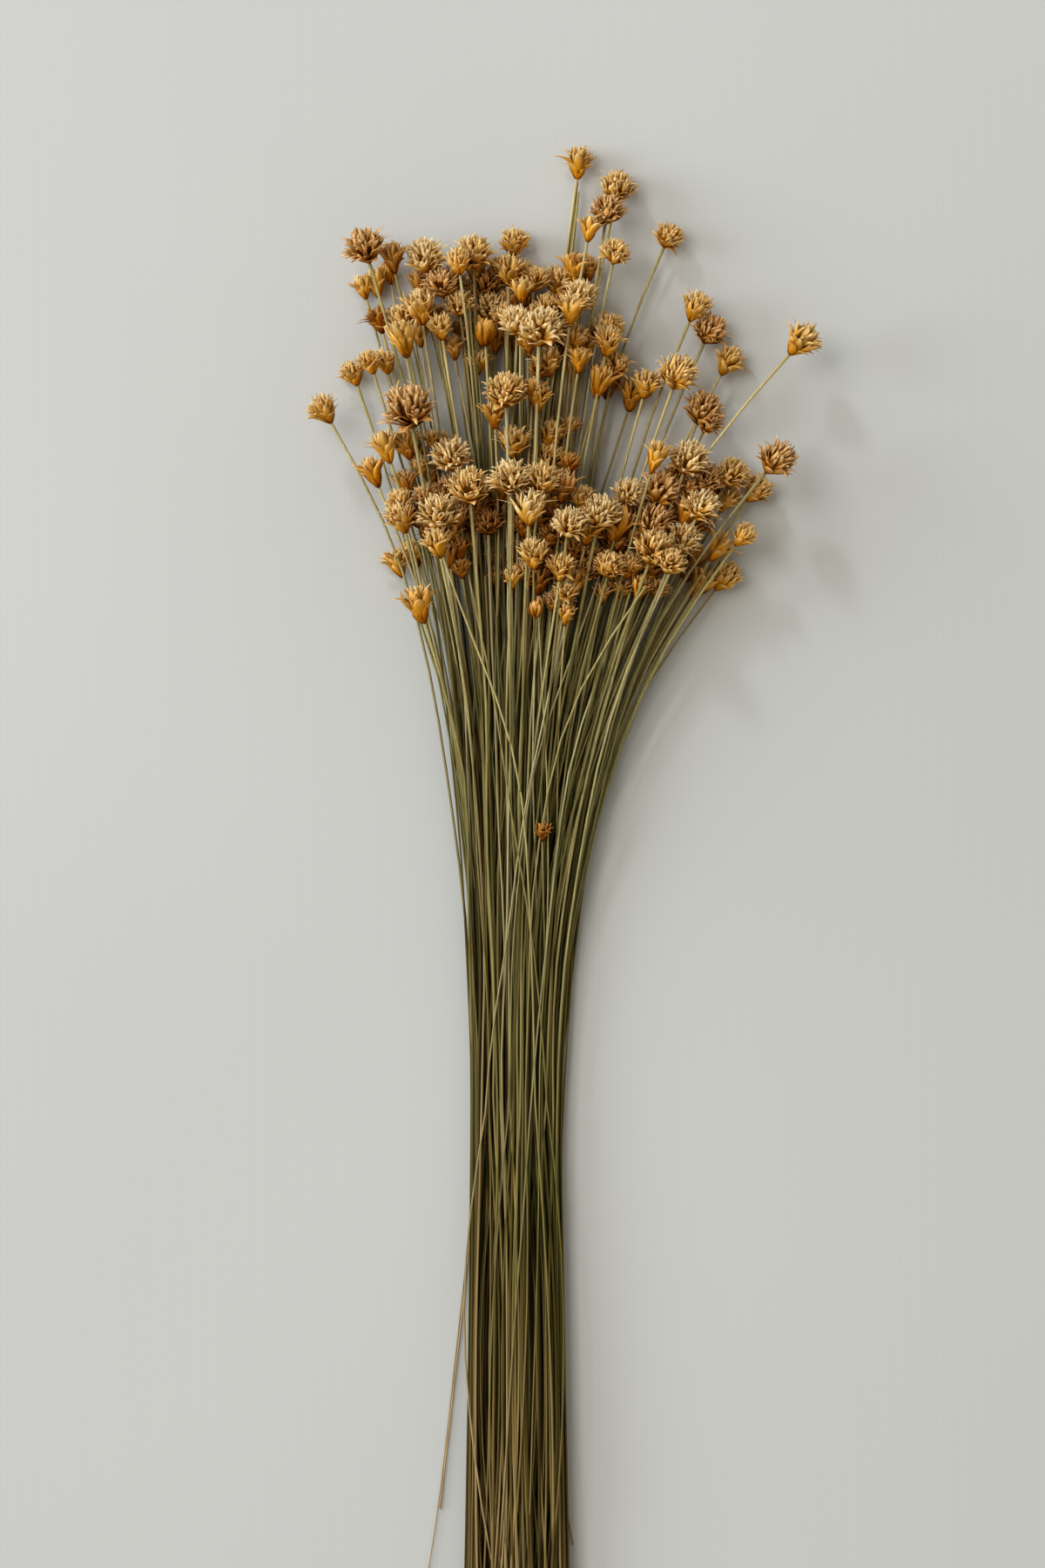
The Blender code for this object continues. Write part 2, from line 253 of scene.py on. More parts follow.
# The rings of bracts from the outside in. Lengths along the axis are shares of the head's
# length, and those across it are shares of its half width. Pairs are for the ring's first and
# last bract.
Ring = namedtuple("Ring", "count tip_out tip_up width bow fold root_out root_up broad")
RINGS = {
    "bud": (
        Ring(4, (0.62, 0.54), (0.78, 0.86), 0.90, 0.44, 0.50, 0.13, (-0.02, 0.02), True),
        Ring(4, (0.46, 0.36), (0.92, 0.98), 0.78, 0.38, 0.48, 0.12, (0.03, 0.05), True),
        Ring(4, (0.28, 0.10), (0.98, 1.02), 0.50, 0.30, 0.44, 0.10, (0.06, 0.10), True),
    ),
    "cup": (
        Ring(5, (0.60, 0.76), (0.46, 0.62), 0.42, 0.04, 0.50, 0.10, (-0.04, 0.00), True),
        Ring(8, (0.92, 1.14), (0.74, 0.92), 0.34, 0.03, 0.50, 0.10, (0.01, 0.04), True),
        Ring(8, (0.88, 0.55), (0.88, 1.02), 0.24, 0.05, 0.40, 0.10, (0.06, 0.10), True),
        Ring(18, (0.86, 0.42), (0.86, 1.02), 0.120, 0.04, 0.30, 0.10, (0.12, 0.18), False),
        Ring(12, (0.38, 0.05), (1.00, 0.92), 0.115, 0.02, 0.30, 0.07, (0.18, 0.22), False),
    ),
    "half": (
        Ring(5, (0.66, 0.80), (0.34, 0.50), 0.38, 0.04, 0.46, 0.10, (-0.03, 0.00), True),
        Ring(8, (0.92, 1.06), (0.50, 0.74), 0.28, 0.04, 0.44, 0.10, (0.02, 0.05), True),
        Ring(9, (0.98, 0.84), (0.72, 0.90), 0.17, 0.05, 0.36, 0.11, (0.07, 0.12), True),
        Ring(10, (0.82, 0.66), (0.58, 0.80), 0.130, 0.06, 0.25, 0.10, (0.10, 0.18), False),
        Ring(30, (0.98, 0.60), (0.72, 0.98), 0.115, 0.05, 0.28, 0.10, (0.12, 0.19), False),
        Ring(32, (0.58, 0.04), (1.00, 0.92), 0.108, 0.03, 0.25, 0.08, (0.19, 0.26), False),
    ),
    "open": (
        Ring(4, (0.72, 0.88), (0.14, 0.30), 0.32, 0.04, 0.40, 0.10, (-0.02, 0.02), True),
        Ring(8, (0.92, 1.02), (0.28, 0.52), 0.22, 0.04, 0.36, 0.11, (0.03, 0.07), True),
        Ring(34, (1.02, 0.90), (0.38, 0.74), 0.112, 0.04, 0.25, 0.11, (0.08, 0.15), False),
        Ring(18, (0.84, 0.66), (0.50, 0.80), 0.125, 0.06, 0.25, 0.10, (0.10, 0.18), False),
        Ring(42, (0.90, 0.52), (0.76, 0.98), 0.104, 0.03, 0.25, 0.10, (0.15, 0.22), False),
        Ring(34, (0.52, 0.04), (1.00, 0.90), 0.100, 0.01, 0.25, 0.08, (0.22, 0.28), False),
    ),
}
ORDER_JITTER = 0.4  # places in its ring by which a bract strays
TURN_JITTER = 0.10  # radians round the axis by which it strays
REACH_JITTER = 0.09  # share of a bract's length
WIDTH_JITTER = 0.16  # share of a bract's width
SWING_JITTER = 0.28  # radians that a tip swings round the axis from its root
ROLL_JITTER = {True: 0.12, False: 0.55}  # radians that a bract is rolled about its own line
BOW_JITTER = 0.03  # share of a bract's length
CURL, CURL_JITTER = 0.03, 0.20  # share of its length by which a bract's tip bends in or out
CURL_START = 0.55  # share of its length where the bend begins
TONE_JITTER = 0.22  # how much one bract is paler or darker than the next
THICKNESS = {True: 0.12, False: 0.13}  # mm, half a bract's
STATION_POWER = {True: 1.3, False: 1.8}  # above 1 a bract's stations are closer at its tip

# The core along the axis, and round it: shares of the head's length and of the core's radius.
CORE_HEIGHTS = np.array([-0.06, 0.0, 0.10, 0.30, 0.50, 0.66, 0.74])
CORE_RADII = np.array([0.0, 0.0, 0.28, 0.72, 1.0, 0.72, 0.10])
CORE_ALONG = np.array([0.0, 0.0, 0.0, 0.04, 0.08, 0.12, 0.12])  # dark, as a bract's root: partly painted shade
# A tone below 0 makes the core darker still: painted shade deep between the bracts.
CORE_TONE = -0.5
CORE_SIDES = 8
CORE_WIDTHS = {"bud": 0.30, "cup": 0.50, "half": 0.62, "open": 0.62}  # share of the half width


def outline(t, broad):
    """A bract's half width along it: an arch of a sine, from a narrow root to a pointed tip."""
    if broad:
        return np.sin(math.pi * (0.08 + 0.90 * t**1.35)) ** 0.62
    return np.sin(math.pi * (0.22 + 0.76 * t**2.4)) ** 0.45


def paired(pair, order):
    """The value at this order, 0 to 1, between a ring's first and last bract."""
    return pair[0] + (pair[1] - pair[0]) * order


def add_bracts(piece, head, ring, draw):
    """Bracts of one ring, as thin closed leaves.

    In the half plane through the head's axis each bract's middle line is a quadratic curve
    from its root to its tip, bowed outwards, and its last part curls in or out. Its surface is
    that line plus a step sideways, plus a lean towards the axis: the fold along its middle.
    """
    count, broad = ring.count, ring.broad
    across, face = (BROAD_ACROSS, BROAD_FACE) if broad else (SLIM_ACROSS, SLIM_FACE)
    order = np.arange(count) + draw.uniform(-ORDER_JITTER, ORDER_JITTER, count)
    order /= max(count - 1, 1)
    width = ring.width * head["half"] * (1 + draw.uniform(-WIDTH_JITTER, WIDTH_JITTER, count))
    turn = head["turn"] + np.arange(count) * GOLDEN_TURN + draw.normal(0, TURN_JITTER, count)
    head["turn"] = turn[-1] + GOLDEN_TURN
    swing = draw.normal(0, SWING_JITTER, count)
    roll = draw.normal(0, ROLL_JITTER[broad], count)[:, None, None]
    bow = ring.bow + draw.normal(0, BOW_JITTER, count)
    curl = draw.normal(CURL, CURL_JITTER, count)

    size = np.array([head["half"], head["length"]])
    tip = np.stack([paired(ring.tip_out, order), paired(ring.tip_up, order)], 1) * size
    root = np.stack([np.full(count, ring.root_out), paired(ring.root_up, order)], 1) * size
    tip = root + (tip - root) * (1 + draw.uniform(-REACH_JITTER, REACH_JITTER, count))[:, None]
    span = tip - root
    outwards = np.stack([span[:, 1], -span[:, 0]], 1)
    control = (root + tip) / 2 + outwards * bow[:, None]

    stations = head["stations"][0 if broad else 1]
    t = 1 - np.linspace(1.0, 0.0, stations)[:, None] ** STATION_POWER[broad]
    a, b, c = (1 - t) ** 2, 2 * t * (1 - t), t**2
    middle = a * root[:, None] + b * control[:, None] + c * tip[:, None]
    slope = (1 - t) * (control - root)[:, None] + t * (tip - control)[:, None]
    slope /= np.linalg.norm(slope, axis=2, keepdims=True)
    normal = np.stack([slope[..., 1], -slope[..., 0]], -1)
    bend = np.clip((t - CURL_START) / (1 - CURL_START), 0, 1) ** 2 * curl[:, None, None]
    middle += normal * bend * np.linalg.norm(span, axis=1)[:, None, None]

    around = (turn[:, None] + swing[:, None] * t[:, 0])[..., None]
    radial = head["side"] * np.cos(around) + head["up"] * np.sin(around)
    sideways = head["up"] * np.cos(around) - head["side"] * np.sin(around)
    line = radial * middle[..., :1] + head["axis"] * middle[..., 1:]
    out = radial * normal[..., :1] + head["axis"] * normal[..., 1:]
    sideways, out = (
        sideways * np.cos(roll) + out * np.sin(roll),
        out * np.cos(roll) - sideways * np.sin(roll),
    )

    wide = outline(t, broad) * width[:, None, None]
    step = sideways[:, :, None] * (wide * across)[..., None]
    fold = ring.fold * wide * (0.4 * np.abs(across) + 0.6 * across**2)
    lean = THICKNESS[broad] * face - fold
    points = head["neck"] + line[:, :, None] + step + out[:, :, None] * lean[..., None]
    tone = np.clip(draw.normal(0.5, TONE_JITTER, count), 0, 1)
    piece.add(points, OUTER if broad else INNER, t, across / 2 + 0.5, tone[:, None, None])


def add_core(piece, head):
    """The florets packed between the bracts: a cone from the neck, closed by a low dome."""
    radii = CORE_RADII * head["half"] * CORE_WIDTHS[head["kind"]]
    radii[:2] = head["neck_radius"] * np.array([0.9, 1.0])
    path = head["neck"] + (CORE_HEIGHTS * head["length"])[:, None] * head["axis"]
    points = tube(path, np.maximum(radii, 0.05), CORE_SIDES)
    across = np.arange(CORE_SIDES) / CORE_SIDES
    piece.add(points[None], INNER, CORE_ALONG[None, :, None], across, CORE_TONE)


def add_head(piece, flower, draw):
    """The core and every ring of bracts, from the outside in."""
    side, up = square_to(flower["axis"])
    head = dict(flower, side=side, up=up, turn=draw.uniform(0, 2 * math.pi))
    add_core(piece, head)
    for ring in RINGS[flower["kind"]]:
        add_bracts(piece, head, ring, draw)


# ---------------------------------------------------------------- stems

STEM_SIDES = 6
STEM_STEP = 18.0  # mm between rings
STEM_WINDOW = 42.0  # mm over which a stem's corners are rounded
STEM_RADIUS = 0.43  # mm at the waist
FOOT_GROWTH = 0.06  # mm that it is thicker at the cut end
SWELL = 62.0  # mm over which a stem thickens to its neck
THINNEST, THICKEST = 0.80, 1.20  # shares of the usual radius
WAVE_HEIGHT = 1.5  # mm, how far a stem strays from its line
WAVES = ((330.0, 1), (190.0, 2), (95.0, 2))  # mm long, and the power of the room to stray
STRAIGHT_NECK = 60.0  # mm below the neck over which a stem settles on its line
LOOSE_BELOW, LOOSENING = 90.0, 130.0  # mm below the waist where the bundle begins to loosen
TIGHT_ROOM = 0.25  # share of the room to stray that the tight bundle leaves
PALE_LENGTH, PALE_SHARE = 90.0, 0.38  # mm below the neck over which a stem turns paler
BROWN_SHARE, BROWN_REACH = 0.45, 30.0  # at the bundle's middle, and mm over which it falls by 1


def stem_radii(path, neck_radius, thickness):
    """Thin at the waist, thicker towards the cut end, and swelling to the neck."""
    y = path[:, 1]
    foot = np.clip((WAIST - y) / (WAIST - BOX_LOW[1]), 0, 1)
    radii = thickness * (STEM_RADIUS + FOOT_GROWTH * foot)
    swell = np.clip(1 - (path[-1, 1] - y) / SWELL, 0, 1) ** 1.4
    return radii + (neck_radius - radii) * swell


def add_stem(piece, line, neck_radius, drift, tones, draw, thin):
    """A tube along the line, which strays from it in slow waves, and by drift in the bundle.

    It has no room to stray at the neck, and little in the tight bundle. Stems at the left of
    the bundle are browner than those at its right.
    """
    path = smoothed(line, STEM_STEP, STEM_WINDOW)
    y = path[:, 1]
    path[:, 0] += drift * np.sin(math.pi * np.clip((WAIST - y) / (WAIST - BAND), 0, 1))
    room = np.clip((y[-1] - y) / STRAIGHT_NECK, 0, 1)
    room *= np.clip((y - WAIST + LOOSE_BELOW) / LOOSENING, TIGHT_ROOM, 1)
    for wavelength, power in WAVES:
        phase, lean = draw.uniform(0, 2 * math.pi), draw.uniform(0.4, 1.0)
        wave = np.sin(y * 2 * math.pi / wavelength + phase)
        path[:, 0] += wave * room**power * WAVE_HEIGHT * lean * wavelength / WAVES[0][0]
    radii = stem_radii(path, neck_radius, thin * draw.uniform(THINNEST, THICKEST))
    path[:, 2] = np.maximum(path[:, 2], radii)
    points = tube(path, radii, STEM_SIDES)
    along = np.clip((y - BOX_LOW[1]) / (BOX_HIGH[1] - BOX_LOW[1]), 0, 1)
    near = np.clip(1 - (y[-1] - y) / PALE_LENGTH, 0, 1)
    shade = ((1 - PALE_SHARE) * along + PALE_SHARE * near)[None, :, None]
    browner = np.clip(BROWN_SHARE - (path[0, 0] - MIDDLE) / BROWN_REACH, 0.1, 1)
    brown = draw.uniform(0, 1) * browner
    piece.add(points[None], 0, shade, brown, draw.uniform(*tones))


# ---------------------------------------------------------------- materials

MIX_COLOUR = {"output": 2, "data_type": "RGBA"}  # its factor is input 0, its colours 6 and 7
DULL, SATIN = 0.05, 0.5  # specular level of dry plant skin, and of rubber and painted board


def linear(colour):
    """An sRGB hex colour as linear red, green, blue and alpha."""
    parts = (int(colour[i : i + 2], 16) / 255 for i in (0, 2, 4))
    return (*(p / 12.92 if p <= 0.04045 else ((p + 0.055) / 1.055) ** 2.4 for p in parts), 1.0)


def node(tree, kind, inputs=(), output=0, stops=(), **settings):
    """Adds a node, with its settings, colour stops and inputs set or linked; gives an output.

    Inputs come in the order of the node's sockets, or in a dict by their name or number.
    """
    made = tree.nodes.new("ShaderNode" + kind)
    for name, value in settings.items():
        setattr(made, name, value)
    for _ in stops[2:]:
        made.color_ramp.elements.new(0.5)
    for number, (place, colour) in enumerate(stops):
        element = made.color_ramp.elements[number]
        element.position = place
        element.color = linear(colour)
    for name, value in inputs.items() if isinstance(inputs, dict) else enumerate(inputs):
        if isinstance(value, bpy.types.NodeSocket):
            tree.links.new(value, made.inputs[name])
        else:
            made.inputs[name].default_value = value
    return made.outputs[output]


def new_material(name):
    """A material, its shader, and the function that adds nodes to it."""
    material = bpy.data.materials.new(name)
    material.use_nodes = True
    return material, material.node_tree.nodes["Principled BSDF"], partial(node, material.node_tree)


def finish_material(material, shader, colour, roughness, specular, normal=None):
    """Links the colour and the bump to the shader, and sets what is the same all over it."""
    links = material.node_tree.links
    links.new(colour, shader.inputs["Base Color"])
    if normal:
        links.new(normal, shader.inputs["Normal"])
    shader.inputs["Roughness"].default_value = roughness
    shader.inputs["Specular IOR Level"].default_value = specular
    return material


# Streaks across a bract about 1 mm wide, and along one about 7 mm long; the tone moves the
# pattern on, so that no two bracts have the same streaks.
STREAKS_ACROSS, STREAKS_ALONG, STREAKS_BY_TONE = 10.0, 1.3, 60.0


def bract_material(name, base, low, middle, tip, tip_start, roughness):
    """Papery dried bract: dark at its root (partly painted shade), streaked along its length,
    paler at edge and tip.
    """
    material, shader, add = new_material(name)
    along, across, tone = (
        add("Attribute", output="Fac", attribute_name=n) for n in ("along", "across", "tone")
    )
    places = ((across, STREAKS_ACROSS), (along, STREAKS_ALONG), (tone, STREAKS_BY_TONE))
    where = add("CombineXYZ", [add("Math", pair, operation="MULTIPLY") for pair in places])
    streak = add("TexNoise", {"Vector": where, "Scale": 1.0, "Detail": 3.0}, "Fac")
    shifted = add("Math", (streak, 0.50, -0.25), operation="MULTIPLY_ADD")
    place = add("Math", (along, shifted), operation="ADD")
    stops = ((0.0, base), (0.25, low), (tip_start, middle), (0.97, tip))
    colour = add("ValToRGB", (place,), stops=stops)

    edge = add("Math", (across, 2.0, -1.0), operation="MULTIPLY_ADD")
    edge = add("Math", (edge,), operation="ABSOLUTE")
    edge = add("Math", (edge, 4.0), operation="POWER")
    edge = add("Math", (edge, 0.45), operation="MULTIPLY")
    edge = add("Math", (edge, along), operation="MULTIPLY")
    colour = add("Mix", {0: edge, 6: colour, 7: linear(tip)}, **MIX_COLOUR)

    # The tint is paler in a pale bract and between the streaks, and less blue at the root, which
    # deepens the painted shade there.
    grey = add("Math", (tone, 0.60, 0.85), operation="MULTIPLY_ADD")
    by_streak = add("Math", (streak, 0.9, 0.55), operation="MULTIPLY_ADD")
    grey = add("Math", (grey, by_streak), operation="MULTIPLY")
    less_green = add("Math", (place, 0.04, 0.945), operation="MULTIPLY_ADD")
    green = add("Math", (grey, less_green), operation="MULTIPLY")
    less_blue = add("Math", (place, 0.55, 0.50), operation="MULTIPLY_ADD")
    blue = add("Math", (grey, less_blue), operation="MULTIPLY")
    tint = add("CombineColor", (grey, green, blue))
    colour = add("Mix", {0: 1.0, 6: colour, 7: tint}, blend_type="MULTIPLY", **MIX_COLOUR)
    normal = add("Bump", {"Strength": 0.55, "Distance": 0.2 * MM, "Height": streak})
    return finish_material(material, shader, colour, roughness, DULL, normal)


# Patterns of a stem, in cycles for each mm across it, along it and in height: fine ridges about
# 0.45 mm wide that run on for 38 mm, and slow patches 2.4 mm wide and 110 mm long.
RIDGES = np.array([2.2, 0.026, 2.2])
PATCHES = np.array([0.42, 0.009, 0.42])


def stem_material(name, foot, low, middle, top, neck):
    """Dried stem: olive straw with fine lengthwise ridges, paler and yellower towards the head.

    High up dark and pale stems come nearer to one tone, so the painted shade of the dark stems
    fades where they come out of the bundle. Low down some are brown.
    """
    material, shader, add = new_material(name)
    along, across, tone = (
        add("Attribute", output="Fac", attribute_name=n) for n in ("along", "across", "tone")
    )
    where = add("TexCoord", output="Object")
    place = add("Mapping", {"Vector": where, "Scale": RIDGES / MM})
    fine = add("TexNoise", {"Vector": place, "Scale": 1.0, "Detail": 3.0}, "Fac")
    slow = add("Mapping", {"Vector": where, "Scale": PATCHES / MM})
    patch = add("TexNoise", {"Vector": slow, "Scale": 1.0, "Detail": 2.0}, "Fac")
    stops = ((0.0, foot), (0.18, low), (0.36, middle), (0.70, top), (1.0, neck))
    colour = add("ValToRGB", (along,), stops=stops)
    patch = add("Math", (patch, 0.35), operation="MULTIPLY")
    colour = add("Mix", {0: patch, 6: colour, 7: linear(low)}, **MIX_COLOUR)
    low_down = add("Math", (along, -2.2, 1.25), operation="MULTIPLY_ADD", use_clamp=True)
    brown = add("Math", (across, low_down), operation="MULTIPLY")
    colour = add("Mix", {0: brown, 6: colour, 7: linear(foot)}, **MIX_COLOUR)

    high = add("Math", (along, 3.0, -1.5), operation="MULTIPLY_ADD", use_clamp=True)
    high = add("Math", (high, 0.6), operation="MULTIPLY")
    to_pale = add("Math", (0.62, tone), operation="SUBTRACT")
    to_pale = add("Math", (to_pale, high), operation="MULTIPLY")
    tone = add("Math", (tone, to_pale), operation="ADD")

    # The tint is paler in a pale stem and between the ridges, and less blue in a dark stem, which
    # deepens the painted shade.
    grey = add("Math", (tone, 1.36, 0.08), operation="MULTIPLY_ADD")
    by_ridge = add("Math", (fine, 1.0, 0.50), operation="MULTIPLY_ADD")
    grey = add("Math", (grey, by_ridge), operation="MULTIPLY")
    less_blue = add("Math", (tone, 0.52, 0.66), operation="MULTIPLY_ADD")
    blue = add("Math", (grey, less_blue), operation="MULTIPLY")
    tint = add("CombineColor", (grey, grey, blue))
    colour = add("Mix", {0: 1.0, 6: colour, 7: tint}, blend_type="MULTIPLY", **MIX_COLOUR)
    normal = add("Bump", {"Strength": 0.5, "Distance": 0.1 * MM, "Height": fine})
    return finish_material(material, shader, colour, 0.6, DULL, normal)


# Patterns of the band, in cycles for each mm: clouds about 4 mm wide, and lines 0.4 mm apart.
CLOUDS = 0.26
LINES = np.array([0.06, 2.6, 0.06])


def rubber_material():
    """Natural rubber: dull tan, a little cloudy, with fine lines along the band."""
    material, shader, add = new_material("natural_rubber")
    where = add("TexCoord", output="Object")
    cloud = add("TexNoise", {"Vector": where, "Scale": CLOUDS / MM, "Detail": 2.0}, "Fac")
    lines = add("Mapping", {"Vector": where, "Scale": LINES / MM})
    line = add("TexNoise", {"Vector": lines, "Scale": 1.0, "Detail": 1.0}, "Fac")
    cloud = add("Math", (cloud, 0.6), operation="MULTIPLY")
    both = add("Math", (line, 0.4, cloud), operation="MULTIPLY_ADD")
    colour = add("ValToRGB", (both,), stops=((0.3, "a3794a"), (0.7, "c29a66")))
    return finish_material(material, shader, colour, 0.55, SATIN)


STEMS = [
    stem_material("olive_straw", "9a8258", "706837", "aaa16e", "c9bb88", "d8c892"),
    stem_material("grey_green_straw", "a48c64", "736e46", "a6a078", "c3b68e", "d2c498"),
    stem_material("brown_straw", "8c7048", "7a6438", "a48f5c", "b69f70", "c8b080"),
]
OLIVE, GREY_GREEN, BROWN = range(3)

# The colours of a bract's root, lower part, upper part and tip, where the tip's colour begins,
# and the roughness of its papery skin. The outer bracts are smoother than the inner ones. The dark
# roots are partly painted shade. The dark colouring, given to heads deep among the others, is
# painted shade.
OUTER_COLOURS = {
    "golden": ("8e5406", "b87a10", "c69338", "ddbb7e", 0.62, 0.5),
    "amber": ("884e04", "ac6c0a", "bb872e", "dbad66", 0.66, 0.45),
    "pale": ("985e10", "c28626", "cfa250", "ecd3a2", 0.60, 0.55),
    "brown": ("743e08", "9c6014", "af7c34", "d2a76c", 0.62, 0.55),
    "dark": ("4c2202", "7c4206", "935d1c", "b8863e", 0.66, 0.5),
}
INNER_COLOURS = {
    "golden": ("703a00", "bc7c12", "d0a04c", "e6ca92", 0.62, 0.6),
    "amber": ("683400", "b06e0c", "c89540", "e8c98c", 0.62, 0.55),
    "pale": ("784206", "c88c28", "d6ae66", "ead4a4", 0.60, 0.6),
    "brown": ("5c2c06", "a4661c", "be8c48", "dcba88", 0.62, 0.6),
    "dark": ("381600", "7c4208", "a06a2c", "c89c60", 0.62, 0.6),
}
OUTER_BRACTS = {k: bract_material(f"{k}_outer_bract", *row) for k, row in OUTER_COLOURS.items()}
INNER_BRACTS = {k: bract_material(f"{k}_inner_bract", *row) for k, row in INNER_COLOURS.items()}


# ---------------------------------------------------------------- flowers

# The colouring of each flower of the frame, in order.
COLOURING = (
    "golden golden brown golden golden golden brown pale golden golden "
    "dark golden golden golden golden golden golden golden golden golden "
    "golden golden pale amber amber golden golden brown golden golden "
    "golden golden brown golden pale brown golden pale pale golden "
    "golden golden golden golden brown golden pale golden pale amber "
    "golden golden golden golden pale pale dark pale pale"
).split()

# Inner flowers: the frame's flower beside it, how far its head lies from that one's across, up
# and above it, its width, all in millimetres, its kind and its colouring. Those 14 mm below their
# neighbour mostly have the dark colouring: painted shade.
UPPER_INNER = (
    (7, 10.5, -3.5, -8, 10, "cup", "brown"),
    (10, 10, 5.5, -14, 7, "cup", "amber"),
    (9, -6.5, -7, -8, 13, "open", "brown"),
    (12, 3.5, 8, -14, 8, "half", "dark"),
    (9, 5.5, 4.5, -8, 14, "open", "golden"),
    (10, 5, 1.5, -8, 9, "cup", "golden"),
    (12, -7.5, -3.5, -8, 10, "half", "golden"),
    (14, 5, -7, -8, 8, "cup", "brown"),
    (19, -9, -4.5, -8, 13, "open", "dark"),
    (15, 11.5, 0, -8, 13, "open", "pale"),
    (17, 5.5, 1, -8, 9, "half", "golden"),
    (12, -3.5, -5.5, -14, 9, "half", "brown"),
    (15, 5, 4, -14, 10, "half", "dark"),
    (24, -3, -10.5, -8, 9, "half", "golden"),
    (14, 8.5, 1, -14, 9, "half", "dark"),
    (19, 6, -0.5, -8, 9, "half", "golden"),
    (20, 5, 5.5, -8, 11, "open", "golden"),
    (21, 4, 10, -8, 12, "half", "golden"),
    (4, -5.5, -14.5, -8, 11, "cup", "amber"),
    (5, -10, -5, -14, 8, "cup", "brown"),
    (22, 3.5, 6.5, -8, 13, "open", "pale"),
    (20, -6.5, -8.5, -8, 11, "open", "golden"),
    (23, -9, 2.5, -2, 12, "open", "pale"),
    (24, 3.5, -1.5, -14, 9, "cup", "amber"),
    (20, 1, -3.5, -14, 10, "half", "dark"),
    (25, -11.5, 0.5, -8, 11, "half", "golden"),
    (25, -2, 9, -8, 11, "half", "golden"),
    (23, 7.5, -0.5, -14, 9, "half", "dark"),
    (26, 0.5, 6.5, -8, 12, "open", "golden"),
    (26, 3, -8, -8, 11, "open", "amber"),
    (25, 8, -7.5, -8, 11, "cup", "amber"),
    (31, -14.5, 0.5, -14, 9, "cup", "dark"),
    (53, 10.5, 0.5, -8, 8, "cup", "amber"),
    (31, -5.5, -3, -8, 11, "cup", "amber"),
    (24, 2.5, 10, -14, 9, "half", "dark"),
    (20, -4.5, -1.5, -14, 9, "half", "brown"),
    (22, -2, 5, -14, 8, "half", "dark"),
    (24, 9.5, -2.5, -14, 9, "cup", "dark"),
    (46, 7.5, 2, -8, 11, "half", "amber"),
    (46, -5, -9, -8, 10, "cup", "amber"),
    (47, -7.5, 6.5, -8, 6, "cup", "golden"),
    (46, 7.5, -13, -8, 9, "cup", "brown"),
    (47, -11.5, -3.5, -8, 7, "cup", "golden"),
    (47, -8, -6, -14, 9, "half", "brown"),
    (49, -5, 6.5, -8, 9, "half", "brown"),
    (49, -14.5, 5, -8, 10, "open", "golden"),
    (49, -14, -2, -2, 11, "half", "golden"),
    (49, 6.5, -0.5, -8, 11, "half", "brown"),
    (57, -7.5, 0, -14, 9, "half", "dark"),
    (52, 6, 4, -8, 10, "half", "amber"),
    (51, 8, -1.5, -14, 8, "cup", "dark"),
    (48, -9, 0, -14, 9, "half", "brown"),
    (57, -4.5, -13.5, -14, 7, "cup", "dark"),
    (53, -4.5, -8.5, -8, 9, "cup", "amber"),
    (53, 12.5, -2.5, -8, 9, "cup", "amber"),
    (54, 14, 3.5, -8, 11, "half", "amber"),
    (54, 13.5, -5, -8, 13, "open", "amber"),
    (54, 21.5, 7, -8, 7, "cup", "brown"),
    (59, -11.5, 18.5, -8, 8, "cup", "dark"),
    (56, 4.5, 10.5, -2, 14, "open", "golden"),
    (58, -2, 14.5, -8, 11, "cup", "brown"),
    (57, 5.5, 6.5, -8, 11, "half", "dark"),
    (57, 6.5, -2, -14, 9, "half", "dark"),
    (59, -7, 6, -8, 9, "half", "golden"),
    (58, 7.5, -3, -8, 9, "cup", "amber"),
    (59, 6.5, -4, -8, 13, "cup", "amber"),
    (38, -3.5, -6.5, -8, 10, "half", "brown"),
    (57, 11, -10.5, -8, 9, "cup", "brown"),
    (58, -13.5, -11.5, -2, 11, "half", "golden"),
    (58, -3, -16.5, -2, 10, "half", "golden"),
    (57, 9.5, -21.5, 4, 7, "cup", "golden"),
    (57, 12.5, -27, -14, 7, "cup", "brown"),
    (40, -17.5, -6.5, -2, 11, "open", "amber"),
    (40, -9.5, -6.5, -8, 10, "half", "amber"),
    (58, -1.5, -26, -8, 9, "half", "golden"),
    (58, -1, -34.5, -8, 7, "cup", "amber"),
    (58, -12.5, -32, -8, 5, "bud", "brown"),
    (40, -5.5, -15, -8, 8, "cup", "amber"),
    (58, -6.5, -3.5, -14, 10, "half", "dark"),
    (58, 3.5, -9.5, -14, 9, "half", "dark"),
    (59, 5.5, -11.5, -14, 11, "half", "dark"),
    (58, 9.5, -12.5, -14, 9, "half", "dark"),
    (56, 4.5, -2.5, -14, 9, "half", "dark"),
    (33, 2, -4.5, -2, 11, "open", "brown"),
    (37, 9.5, -5.5, -8, 11, "half", "golden"),
    (35, 7.5, -7, -8, 12, "open", "brown"),
    (37, -1.5, -9.5, -8, 9, "cup", "golden"),
    (34, 2, -11.5, -8, 15, "open", "brown"),
    (39, -5.5, -2, -8, 10, "cup", "amber"),
    (40, -0.5, 11, -8, 15, "open", "brown"),
    (40, 11.5, 4, -8, 13, "open", "pale"),
    (40, 6, -5.5, 4, 11, "open", "golden"),
    (43, -9.5, -2.5, -8, 11, "cup", "amber"),
    (39, -11, -2.5, -14, 9, "half", "dark"),
    (40, -5, 3.5, -14, 9, "half", "dark"),
    (37, -5.5, -5, -14, 9, "half", "dark"),
    (56, -2, -6.5, -14, 9, "half", "dark"),
)
